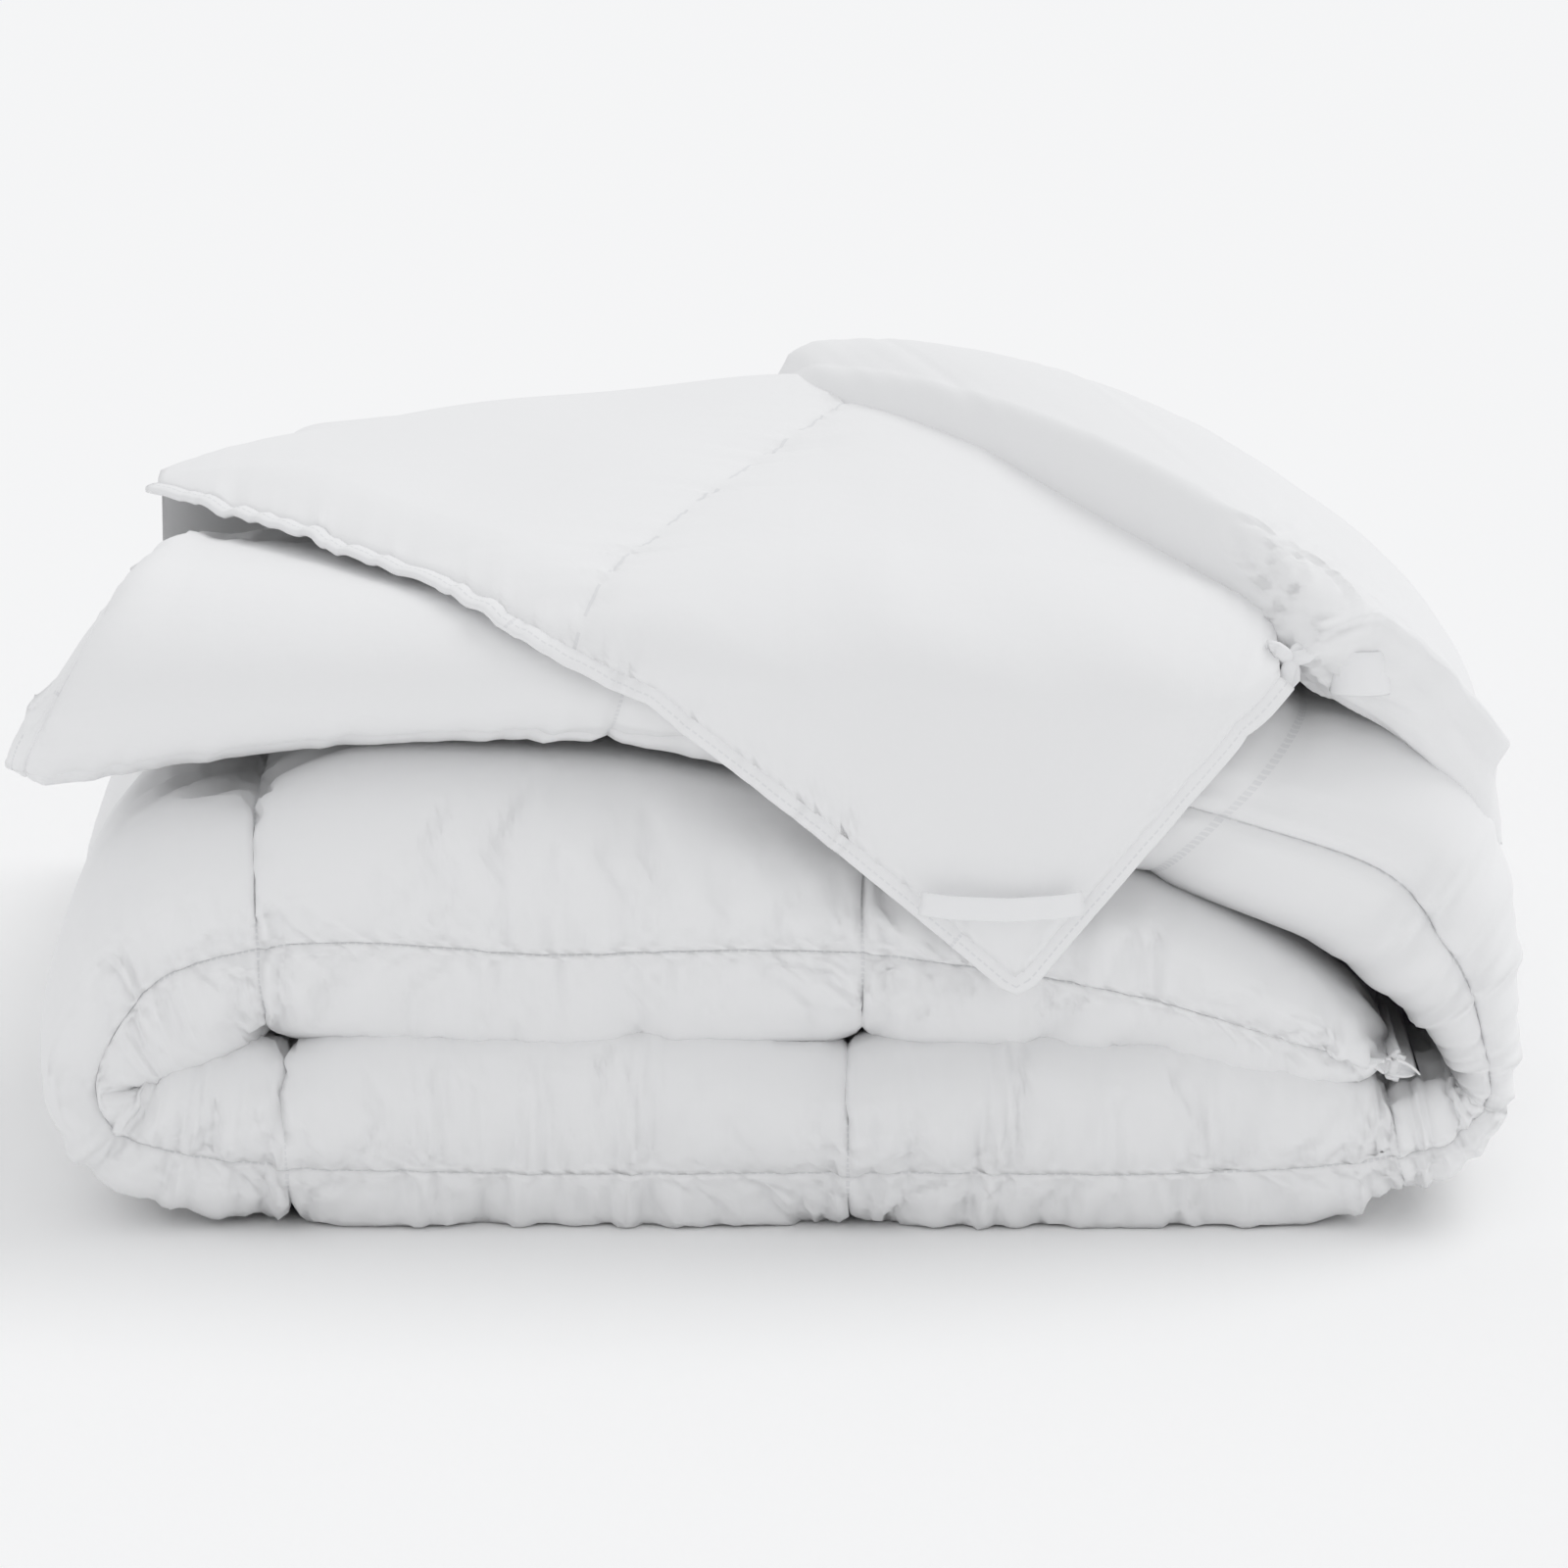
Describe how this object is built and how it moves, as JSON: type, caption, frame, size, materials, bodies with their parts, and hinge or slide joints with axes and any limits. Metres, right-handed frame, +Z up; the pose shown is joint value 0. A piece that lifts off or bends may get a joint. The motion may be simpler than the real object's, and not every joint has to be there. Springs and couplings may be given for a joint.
{
  "type": "folded quilted duvet",
  "caption": "White box-quilted duvet folded in half and then in thirds, its top ply turned back so that one corner hangs over the front.",
  "frame": {"origin": "middle of the whole folded stack, on the surface it lies on", "axes": "+Z up, -Y towards the front, where the long fold and the hanging corner are, +X towards the right turn"},
  "size_m": [0.7282, 0.8606, 0.387],
  "materials": {
    "shell": "matte",
    "filling": "matte",
    "lining": "matte",
    "hem": "matte",
    "tape": "matte",
    "label": "matte"
  },
  "bodies": {
    "lower_thirds": {"filling_bottom_left_inner_ply": "filling", "filling_bottom_left_outer_ply": "filling", "filling_bottom_right_inner_ply": "filling", "filling_bottom_right_outer_ply": "filling", "filling_left_turn_inner_ply": "filling", "filling_left_turn_outer_ply": "filling", "filling_middle_third_inner_ply": "filling", "filling_middle_third_outer_ply": "filling", "filling_right_turn_lower_inner_ply": "filling", "filling_right_turn_lower_outer_ply": "filling", "filling_tucked_end_inner_ply": "filling", "filling_tucked_end_outer_ply": "filling", "hem_back_lower_thirds_inner": "hem", "hem_back_lower_thirds_outer": "hem", "hem_tucked_end": "hem", "lining_lower_thirds": "lining", "shell_bottom_third": "shell", "shell_middle_third": "shell", "shell_right_turn": "shell"},
    "top_third": {"filling_pleat": "filling", "filling_ridge": "filling", "filling_right_turn_upper_inner_ply": "filling", "filling_right_turn_upper_outer_ply": "filling", "filling_top_left_inner_ply": "filling", "filling_top_left_outer_ply": "filling", "filling_top_right_inner_ply": "filling", "filling_top_right_outer_ply": "filling", "filling_turned_back_left": "filling", "filling_turned_back_right": "filling", "hem_back_top_third": "hem", "hem_left_end": "hem", "hem_long_side_right": "hem", "hem_turned_back_end": "hem", "lining_top_third": "lining", "pleat_backing": "shell", "pleat_face": "shell", "ridge_cover": "shell", "shell_top_third": "shell", "tie_knot": "tape", "turned_back_backing": "shell", "turned_back_face": "shell"},
    "corner": {"corner_backing": "shell", "corner_face": "shell", "corner_filling": "filling", "hem_corner_end_side": "hem", "hem_corner_long_side": "hem"},
    "corner_loop_tape": {"corner_loop": "tape"},
    "side_loop_tape": {"side_loop": "tape"},
    "label": {"care_label": "label"}
  },
  "joints": [
    {"name": "top_third_lift", "type": "hinge", "parent": "lower_thirds", "child": "top_third", "pos_m": [0.36376, 0, 0.0702], "axis": [0, 1, 0], "range_deg": [0, 35]},
    {"name": "corner_lift", "type": "hinge", "parent": "top_third", "child": "corner", "pos_m": [0.07389, -0.39434, 0.31454], "axis": [-0.9976, 0, 0.0694], "range_deg": [0, 80]},
    {"name": "corner_loop_tilt", "type": "hinge", "parent": "corner", "child": "corner_loop_tape", "pos_m": [0.10287, -0.42218, 0.19888], "axis": [1, 0, 0], "range_deg": [-12, 12]},
    {"name": "side_loop_tilt", "type": "hinge", "parent": "top_third", "child": "side_loop_tape", "pos_m": [0.28251, -0.37605, 0.29364], "axis": [1, 0, 0], "range_deg": [-12, 12]},
    {"name": "label_lift", "type": "hinge", "parent": "lower_thirds", "child": "label", "pos_m": [-0.1113, 0.42966, 0.19366], "axis": [1, 0, 0], "range_deg": [0, 90]}
  ]
}
